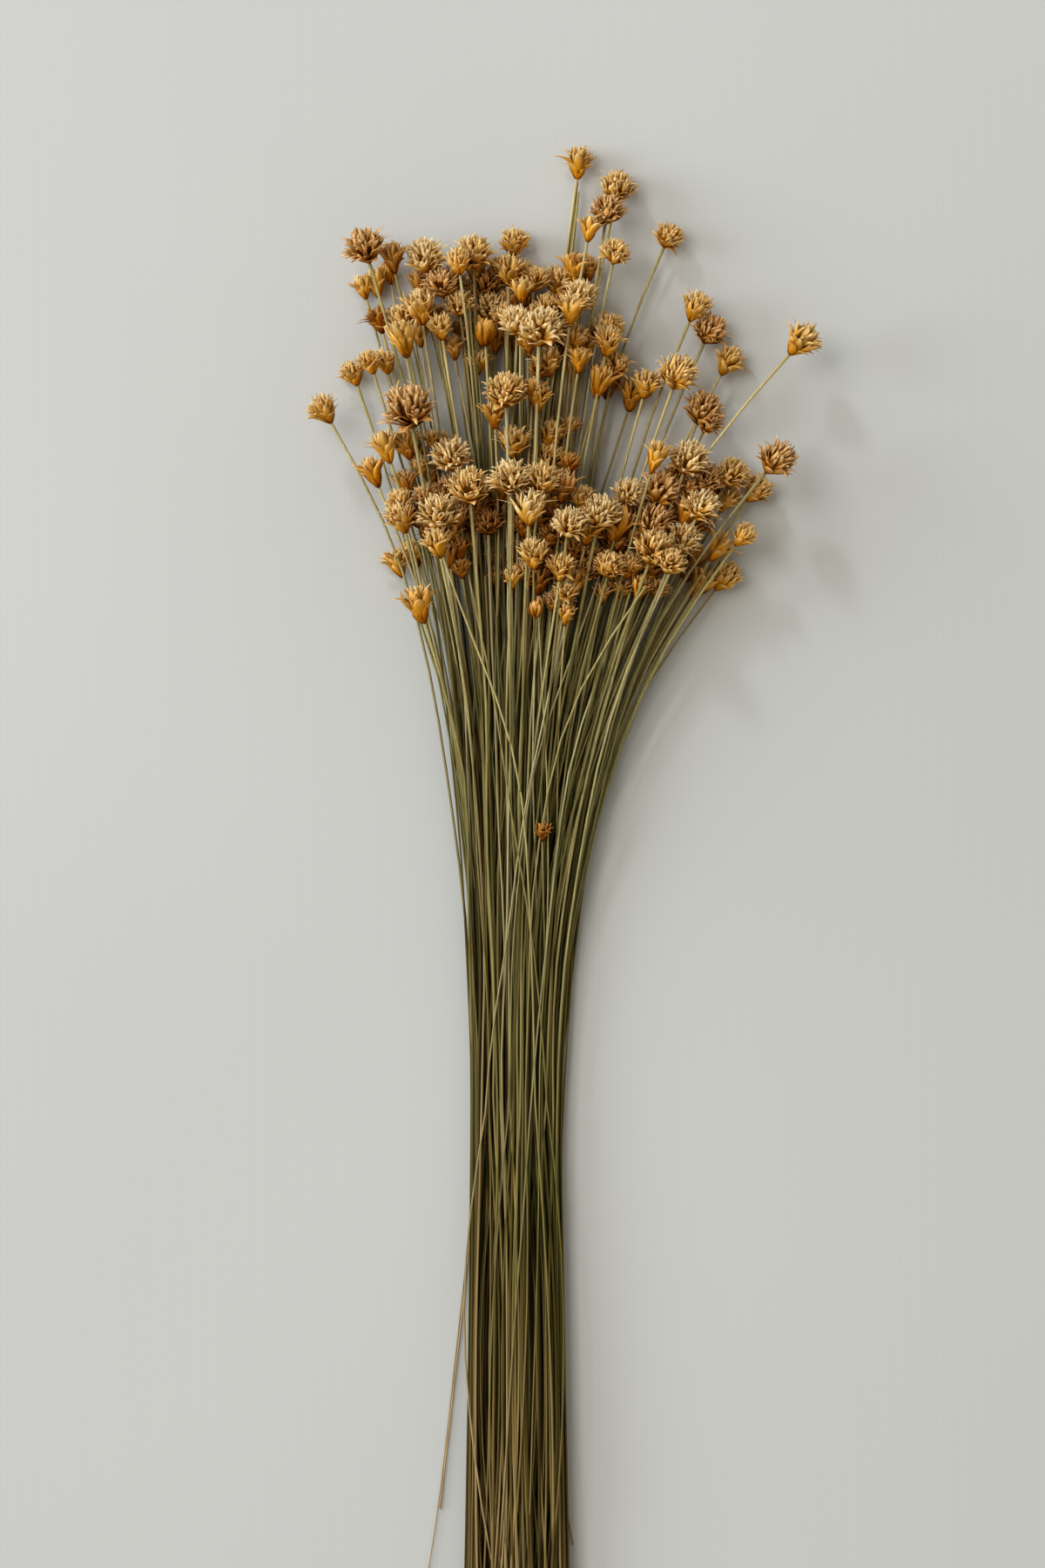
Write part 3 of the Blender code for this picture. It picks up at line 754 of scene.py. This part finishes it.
# More of them lower down, in two layers. In each they share one height, and their kinds and
# colourings come in turn. Their dark colouring is painted shade.
DEEP_HEIGHT = -14
DEEP_LOOKS = (("cup", "brown"), ("half", "dark"), ("cup", "amber"), ("half", "dark"))
DEEP_INNER = (
    (55, -3, -3.5, 9), (56, -1.5, 7, 9), (56, 8.5, 1.5, 9), (59, 1.5, -6.5, 9),
    (58, 1.5, -17.5, 8), (58, -9, -13.5, 9), (57, 4, -13.5, 8), (57, -0.5, -7.5, 8),
    (40, -8.5, 6, 9), (40, 4, 2.5, 9), (39, -5, 6.5, 9), (35, -4.5, -5.5, 9), (8, -3, -8.5, 8),
    (9, -1.5, -6.5, 9), (9, 6, -1.5, 9), (19, -3.5, 2, 8), (21, 3.5, 1.5, 8), (21, -4.5, -3.5, 9),
    (23, -4.5, -4.5, 9), (25, -7, 5.5, 8), (25, 3, 6.5, 8), (26, -4.5, 3.5, 8), (24, -4, -3.5, 8),
    (12, 6, -2.5, 9), (13, 6, 3, 8), (46, 12.5, -1.5, 8), (47, -3.5, 6, 7), (49, -9, 0, 9),
    (51, 5.5, 4.5, 8), (51, -3.5, 5.5, 7), (48, 2.5, -7.5, 8), (23, 0, -15, 8),
    (25, -2.5, -2.5, 7), (39, -1.5, -6, 9), (40, -2.5, -3.5, 8),
)
LOW_HEIGHT = -13
LOW_KINDS, LOW_COLOURING = ("half", "cup"), ("dark", "brown", "amber")
LOW_INNER = (
    (57, 8.5, -16, 9), (57, 3.5, -20.5, 8), (58, -15.5, -17.5, 9), (58, -11, -21.5, 9),
    (58, -6.5, -29, 7), (58, 3, -21.5, 9), (58, 7, -17.5, 9), (40, -20, -16.5, 8),
    (40, -12.5, -14, 9), (40, -1.5, -8.5, 9), (40, 1.5, -15, 8), (57, -6.5, -8.5, 9),
    (51, 9, -9, 7), (51, 4, -4, 8), (58, 5.5, 1, 9), (58, -3.5, 1, 9), (38, 4.5, -7.5, 9),
    (41, -8.5, -4, 9), (41, -11.5, -9, 9), (57, 0, 8.5, 9), (48, 2.5, 0, 9), (49, 1, 5.5, 9),
)
INNER_FLOWERS = (
    *UPPER_INNER,
    *(
        (near, across, up, DEEP_HEIGHT, width, *DEEP_LOOKS[i % 4])
        for i, (near, across, up, width) in enumerate(DEEP_INNER)
    ),
    *(
        (near, across, up, LOW_HEIGHT, width, LOW_KINDS[i % 2], LOW_COLOURING[i % 3])
        for i, (near, across, up, width) in enumerate(LOW_INNER)
    ),
)
LOW_BUD = (58, -10.0, -117.0, 0.0, 6, "cup", "dark")  # a small head far below the others
INNER_SPREAD = 1.12  # the share of its width that an inner flower's bracts reach
# Darker than the frame's stems: partly painted shade, for these stems lie inside the bundle.
INNER_TONES = (0.06, 0.85)
INNER_THIN = 0.88
INNER_LEVELS = (3.2, 5.9, 8.4)  # mm, heights of the inner stems at the waist
INNER_ACROSS = 22.0  # mm by which their places across the waist stray
INNER_LEAN = 0.012  # how far a head leans outwards for each mm that it lies across
LOWEST_HEAD = 0.9  # the least height of a head's middle, as a share of its half width
LINE_STEP = 2.0  # mm between the points of a line that is placed
NECK_RADIUS, NECK_GROWTH = 0.36, 0.036  # mm, and mm more for each mm of a head's half width
FRAME_DRIFT, INNER_DRIFT, BARE_DRIFT = 4.5, 9.0, 5.0  # mm by which a cut end strays sideways
PLACES_SEED, FRAME_SEED, INNER_SEED, BARE_SEED, LOOSE_SEED = 7, 100, 300, 500, 600
STEM_ROOM = 1.6  # mm from the middle of a stem to the outside of the ring of stems
NEAR_STATIONS, DEEP_STATIONS = (7, 4), (6, 4)  # rings along a broad and a slim bract
DEEP = -8  # mm, an inner flower this far below its neighbour is mostly hidden
LENGTH_OF = {"bud": 1.35, "cup": 1.05, "half": 0.95, "open": 0.80}  # shares of a head's width

OPENING = {34: "cup"}  # a bud of the frame that has begun to open
BROWN_STEMS = {43: 0.7}  # the frame's flowers with a thin red-brown stem, and how thin

BARE_STEMS = 170
# Dark tones: painted shade, for these stems lie inside the bundle under the heads.
BARE_TONES = (0.06, 0.45)
BARE_NECK = 0.4  # mm, radius at the upper end
BARE_FOOT = (0.5, 6.0)  # mm that they end above the lowest cut end
BARE_STEP = 3.0  # mm between the points of their lines
BARE_ENDS, BARE_END_JITTER = (150.0, 165.0), 25  # mm along Y, and mm that they end below it
BARE_SHARES = (0.1, 0.9)  # places between two neighbours
BARE_HEIGHTS = (0.25, 0.80)  # shares of the neighbours' height
SORTING_LEVEL = 60.0  # mm along Y where the flowers are taken in order across the fan
LEFTMOST = 3  # flowers at the left that have no bare stems beside them
TALL = 195.0  # mm along Y that a flower's neck passes if it belongs to the upper tier
TALL_AT, TALL_REACH = 4.0, 26.0  # mm, the upper tier's middle, and how far it reaches
TALL_SHARES = (0.04, 0.20)  # places close beside a tall flower
TALL_PAST = 2.0  # mm past its neck, behind its head
GAP, GAP_REACH, GAP_LEVEL = 37.0, 7.0, 145.0  # mm: the gap right of the upper tier
LEFT_EDGE, LEFT_LEVEL = -33.0, 125.0  # mm: no bare stem is seen outside this

# Loose stems: the look of the stem, whether it lies on top of the others or low, its share of
# the usual thickness, and its places from the top down, in millimetres from the middle of the
# waist: across and up.
LOOSE_STEMS = (
    (OLIVE, True, 0.8, (
        (-30, 216), (-23, 194), (-8, 154), (-2, 134), (2, 114), (6, 84), (7, 58), (9, -60),
        (14, -229),
    )),
    (OLIVE, True, 0.8, (
        (50, 200), (43, 190), (26, 168), (16, 147), (11, 124), (8, 90), (5, 40), (3, -60),
        (-5, -229),
    )),
    (GREY_GREEN, True, 0.8, (
        (32, 204), (22, 173), (10, 141), (4, 118), (0, 90), (-3, 50), (-4, -60), (-8, -229),
    )),
    (GREY_GREEN, True, 0.8, (
        (20, 206), (17, 180), (4, 120), (-3, 80), (-9, 30), (-12, -20), (-13, -70), (-2, -229),
    )),
    (OLIVE, True, 0.8, (
        (-20, 212), (-14, 180), (-4, 130), (5, 80), (11, 30), (13, -20), (13, -60), (10, -229),
    )),
    (GREY_GREEN, True, 0.8, (
        (46, 205), (38, 185), (24, 145), (17, 110), (13, 70), (6, 10), (2, -40), (-3, -90),
        (-10, -229),
    )),
    (OLIVE, True, 0.8, (
        (8, 204), (9, 170), (13, 130), (14, 90), (11, 40), (8, 0), (9, -60), (4, -229),
    )),
    (GREY_GREEN, False, 0.7, (
        (-12, 90), (-15, 20), (-16.6, -40), (-19.2, -65), (-24.4, -108), (-29.7, -156),
    )),
    (GREY_GREEN, False, 0.5, (
        (-12, 90), (-15.2, 20), (-16.8, -40), (-19.4, -65), (-24.6, -108), (-29.9, -156),
        (-33.5, -176), (-42, -222),
    )),
    (GREY_GREEN, False, 0.5, (
        (12, 40), (15, -60), (15.5, -135), (16.5, -150), (18.8, -163), (22, -170),
    )),
)
TOP_TONES, LOW_TONES = (0.5, 0.9), (0.95, 1.0)
ON_TOP = 1.0  # mm above the highest stem
ON_TABLE = 1.2  # mm, a low loose stem's middle
BAND_HEIGHT = 5.0  # mm, the height of the loose stems under the band
PAST_BAND, RISING = 8.0, 30.0  # mm past the band where they rise, and over which
CORNERS = 30.0  # mm over which the corners at their places are rounded


def inner_line(beside, neck, number):
    """An inner stem's line: the neighbour's, moved by a step that grows with the fan.

    At the waist the step leads to a place inside the ring of stems. At the neck it leads to
    the inner flower's own neck. Past the neighbour's neck the line runs straight on.
    """
    line = beside["line"]
    if neck[1] > line[-1, 1]:
        levels = np.arange(line[-1, 1] + LINE_STEP, neck[1] + LINE_STEP, LINE_STEP)
        before = line[-1 - STRAIGHT_SECTIONS]
        slope = (line[-1] - before) / (line[-1, 1] - before[1])
        line = np.vstack([line, line[-1] + (levels - line[-1, 1])[:, None] * slope])
    line = line[line[:, 1] < neck[1] - 0.5]
    end, waist = at(line, neck[1]), at(line, WAIST)
    reach = RING_REACH - STEM_ROOM
    stray = (number * 0.618 % 1.0 - 0.5) * INNER_ACROSS
    place = np.clip(waist[0] - MIDDLE + stray, -reach, reach)
    flat = math.sqrt(max(0.0, 1 - (place / (reach + STEM_ROOM)) ** 2))
    level = INNER_LEVELS[1] + (INNER_LEVELS[number % 3] - INNER_LEVELS[1]) * flat
    to_place = np.array([MIDDLE + place, 0.0, level]) - waist * [1, 0, 1]
    share = (fan(line[:, 1]) / float(fan(neck[1])))[:, None]
    moved = line + to_place * (1 - share) + (neck - end) * [1, 0, 1] * share
    return np.vstack([moved, neck])


def inward(line, drift):
    """A drift at the cut end that leaves the stem inside the bundle."""
    start = line[0, 0] - MIDDLE
    if abs(start) >= RING_REACH:
        return 0.0
    return float(np.clip(start + drift, -RING_REACH, RING_REACH) - start)


def make_flower(name, flower, colouring, stem, drift, seed):
    """One flower as one piece: its stem, and its head on the stem's neck."""
    draw = np.random.default_rng(seed)
    thin, line = flower["thin"], flower["line"]
    flower["neck_radius"] = (NECK_RADIUS + NECK_GROWTH * flower["half"]) * thin
    piece = Piece()
    add_stem(piece, line, flower["neck_radius"], inward(line, drift), flower["tones"], draw, thin)
    add_head(piece, flower, draw)
    made = piece.finish(name, (STEMS[stem], OUTER_BRACTS[colouring], INNER_BRACTS[colouring]))
    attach(made, "root")
    return made


def inner_flower(row, number):
    """What make_flower needs of an inner flower, from its row of the list."""
    near, across, up, above, width, kind, _ = row
    beside = measured[f"flower_{near:02d}"]
    centre = beside["neck"] + beside["axis"] * beside["length"] / 2 + (across, up, above)
    width *= INNER_SPREAD
    centre[2] = max(centre[2], width / 2 * LOWEST_HEAD)
    if row is LOW_BUD:
        centre[2] = height_of_stems(centre[0], centre[1]) + ON_TOP
    length = width * LENGTH_OF[kind]
    axis = beside["axis"] + np.array([across * INNER_LEAN, 0.0, 0.0])
    axis /= np.linalg.norm(axis)
    neck = centre - axis * length / 2
    flower = {"line": inner_line(beside, neck, number), "neck": neck, "axis": axis}
    flower.update(length=length, half=width / 2, kind=kind, tones=INNER_TONES, thin=INNER_THIN)
    flower["stations"] = DEEP_STATIONS if above < DEEP else NEAR_STATIONS
    return flower


def make_bare_stems(name, lines, stem, tones, thin, seed):
    """Stems without heads, in one piece."""
    draw = np.random.default_rng(seed)
    piece = Piece()
    for line in lines:
        drift = inward(line, draw.normal(0, BARE_DRIFT))
        add_stem(piece, line, BARE_NECK, drift, tones, draw, thin)
    made = piece.finish(name, (STEMS[stem],))
    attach(made, "root")


def height_of_stems(x, y):
    """The height of the highest stem of the frame within 3 mm of a place, or 0 beside them."""
    lines = [flower["line"] for flower in measured.values() if flower["line"][-1, 1] > y]
    there = np.array([at(line, y) for line in lines])
    near = there[np.abs(there[:, 0] - x) < 3.0, 2]
    return near.max() if len(near) else 0.0


def bare_lines():
    """The lines of the stems without heads, one list for each look.

    Each runs between two neighbours in the fan, lower than both, and ends among the lower
    heads, short of the gap between the middle and the right of the fan. Every fourth one runs
    close beside a flower of the upper tier instead, and ends behind its head.
    """
    draw = np.random.default_rng(PLACES_SEED)
    lines = [flower["line"] for flower in measured.values()]
    across_fan = sorted(lines, key=lambda line: at(line, SORTING_LEVEL)[0])[LEFTMOST:]
    upper = MIDDLE + TALL_AT
    tall = [k for k in across_fan if k[-1, 1] > TALL and abs(k[-1, 0] - upper) < TALL_REACH]
    bare = ([], [], [])
    for number in range(BARE_STEMS):
        among = tall if number % 4 == 0 else across_fan
        place = number * 7 % (len(among) - 2)
        first, second = among[place], among[place + 2]
        low_end = draw.choice(BARE_ENDS) - draw.uniform(0, BARE_END_JITTER)
        end, share = min(first[-1, 1], second[-1, 1], low_end), draw.uniform(*BARE_SHARES)
        if among is tall:
            end, share = first[-1, 1] + TALL_PAST, draw.uniform(*TALL_SHARES)
        levels = np.arange(BOX_LOW[1] + draw.uniform(*BARE_FOOT), end, BARE_STEP)
        line = at(first, levels)
        line += (at(second, levels) - line) * share
        line[:, 2] *= draw.uniform(*BARE_HEIGHTS)
        in_gap = (np.abs(line[:, 0] - MIDDLE - GAP) < GAP_REACH) & (levels > GAP_LEVEL)
        outside = (line[:, 0] < MIDDLE + LEFT_EDGE) & (levels > LEFT_LEVEL)
        line = line[: int(np.argmax(in_gap | outside)) or len(line)]
        bare[(OLIVE, GREY_GREEN, OLIVE, BROWN, OLIVE, GREY_GREEN)[number % 6]].append(line)
    return bare


def loose_line(places, on_top):
    """A loose stem's line through its places, over the highest stems or low on the table.

    Those on top come down to pass under the band.
    """
    places = np.array(places) + (MIDDLE, WAIST)
    levels = np.arange(places[-1, 1], places[0, 1], LINE_STEP)
    x = np.interp(levels, places[::-1, 1], places[::-1, 0])
    z = np.full(len(x), ON_TABLE)
    if on_top:
        raised = np.array([height_of_stems(*place) for place in zip(x, levels, strict=True)])
        share = np.clip((levels - BAND - PAST_BAND) / RISING, 0, 1)
        z = BAND_HEIGHT + (raised + ON_TOP - BAND_HEIGHT) * share
    return smoothed(np.stack([x, levels, z], 1), LINE_STEP, CORNERS)


band = frame["nodes"]["rubber_band"].data
band.materials.clear()
band.materials.append(rubber_material())

LOOKS = (OLIVE, GREY_GREEN, OLIVE, OLIVE, GREY_GREEN, GREY_GREEN, OLIVE, OLIVE)
for number, (cad_node, flower) in enumerate(measured.items(), 1):
    flower["kind"] = OPENING.get(number, flower["kind"])
    flower["thin"] = BROWN_STEMS.get(number, 1.0)
    stem = BROWN if number in BROWN_STEMS else LOOKS[number % 8]
    drift = FRAME_DRIFT * math.sin(number * 1.9)
    name, colouring = "hill_" + cad_node, COLOURING[number - 1]
    made = make_flower(name, flower, colouring, stem, drift, FRAME_SEED + number)
    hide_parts(cad_node)

INNER_LOOKS = (OLIVE, OLIVE, GREY_GREEN, BROWN, OLIVE, GREY_GREEN)
for number, row in enumerate((*INNER_FLOWERS, LOW_BUD), 1):
    flower, name, colouring = inner_flower(row, number), f"inner_flower_{number:03d}", row[-1]
    stem, drift = INNER_LOOKS[number % 6], INNER_DRIFT * math.sin(number * 2.4)
    made = make_flower(name, flower, colouring, stem, drift, INNER_SEED + number)

for stem, lines in enumerate(bare_lines()):
    make_bare_stems(f"bare_stems_{stem + 1}", lines, stem, BARE_TONES, 1.0, BARE_SEED + stem)

for number, (stem, on_top, thin, places) in enumerate(LOOSE_STEMS, 1):
    name, tones = f"loose_stem_{number}", TOP_TONES if on_top else LOW_TONES
    lines = [loose_line(places, on_top)]
    make_bare_stems(name, lines, stem, tones, thin, LOOSE_SEED + number)


# ---------------------------------------------------------------- table, light and camera

BOARD_REACH = 12.0  # m from the middle to each side, past what any view shows
RIB = 0.88  # mm between the board's fine ribs
WAVE_TURNS = 20.0  # radians of a wave texture in one unit at a scale of 1
PATCH = 0.0022  # cycles for each mm: slow patches nearly half a metre wide
LIGHTS_AIM = (0.0, 0.08, 0.0)  # m, near the flower heads
VIEW_MIDDLE = (-0.0157, 0.0543)  # m, what the camera looks down on
VIEW_HEIGHT, VIEW_PLANE, VIEW_TALL = 1.6, 0.015, 0.6  # m: above the plane that it shows in full


def table():
    """A large pale painted board with fine ribs along Y, and slow patches a shade paler."""
    material, shader, add = new_material("white_ribbed_board")
    where = add("TexCoord", output="Object")
    rib_scale = math.tau / (WAVE_TURNS * RIB * MM)
    wave = {"Vector": where, "Scale": rib_scale, "Distortion": 0.5, "Detail": 1.0}
    ribs = add("TexWave", wave, "Fac")
    slow = add("TexNoise", {"Vector": where, "Scale": PATCH / MM, "Detail": 2.0}, "Fac")
    colour = add("ValToRGB", (slow,), stops=((0.3, "c9cbcc"), (0.7, "cfd1d2")))
    grey = add("Math", (ribs, 0.06, 0.97), operation="MULTIPLY_ADD")
    tint = add("CombineColor", (grey, grey, grey))
    colour = add("Mix", {0: 1.0, 6: colour, 7: tint}, blend_type="MULTIPLY", **MIX_COLOUR)
    finish_material(material, shader, colour, 0.85, SATIN)
    mesh = bpy.data.meshes.new("table")
    low, high = -BOARD_REACH, BOARD_REACH
    corners = [(low, low, 0), (high, low, 0), (high, high, 0), (low, high, 0)]
    mesh.from_pydata(corners, [], [(0, 1, 2, 3)])
    mesh.materials.append(material)
    board = bpy.data.objects.new("table", mesh)
    bpy.context.scene.collection.objects.link(board)


def area_light(name, towards, elevation, distance, size, power, colour):
    """A round light that faces the bundle from a compass direction and degrees above it."""
    light = bpy.data.lights.new(name, "AREA")
    light.shape = "DISK"
    light.size = size
    light.energy = power
    light.color = colour
    lamp = bpy.data.objects.new(name, light)
    elevation = math.radians(elevation)
    flat = np.array(towards, float)
    flat *= math.cos(elevation) / np.linalg.norm(flat)
    where = np.array([*flat, math.sin(elevation)]) * distance
    lamp.location = where + LIGHTS_AIM
    lamp.rotation_euler = (math.pi / 2 - elevation, 0.0, math.atan2(flat[0], -flat[1]))
    bpy.context.scene.collection.objects.link(lamp)


def camera():
    """Looks straight down on the bundle; its picture is 400 by 600 mm just above the table."""
    data = bpy.data.cameras.new("camera")
    data.sensor_fit = "VERTICAL"
    data.sensor_height = 36.0
    data.lens = data.sensor_height * VIEW_HEIGHT / VIEW_TALL
    data.clip_end = 20.0
    made = bpy.data.objects.new("camera", data)
    made.location = (*VIEW_MIDDLE, VIEW_HEIGHT + VIEW_PLANE)
    bpy.context.scene.collection.objects.link(made)
    bpy.context.scene.camera = made


def world():
    """The warm light of a pale room from every side."""
    made = bpy.data.worlds.new("soft_room")
    bpy.context.scene.world = made
    made.use_nodes = True
    background = made.node_tree.nodes["Background"]
    background.inputs["Color"].default_value = (1.0, 0.935, 0.80, 1.0)
    background.inputs["Strength"].default_value = 0.38


table()
# A far window throws the crisp shadows, a broad light above softens them, and a low broad one
# from the left lights the sides of the stems.
area_light("window", (-0.47, 0.88), 31, 6.0, 0.7, 58.0, (0.88, 0.95, 1.0))
area_light("ceiling", (-0.85, 0.5), 60, 2.6, 1.6, 21.5, (1.0, 0.97, 0.91))
area_light("side_window", (-1.0, 0.12), 22, 5.0, 2.8, 118.0, (0.84, 0.93, 1.0))
camera()
world()
bpy.context.scene.view_settings.view_transform = "Standard"
bpy.context.scene.view_settings.look = "Medium High Contrast"
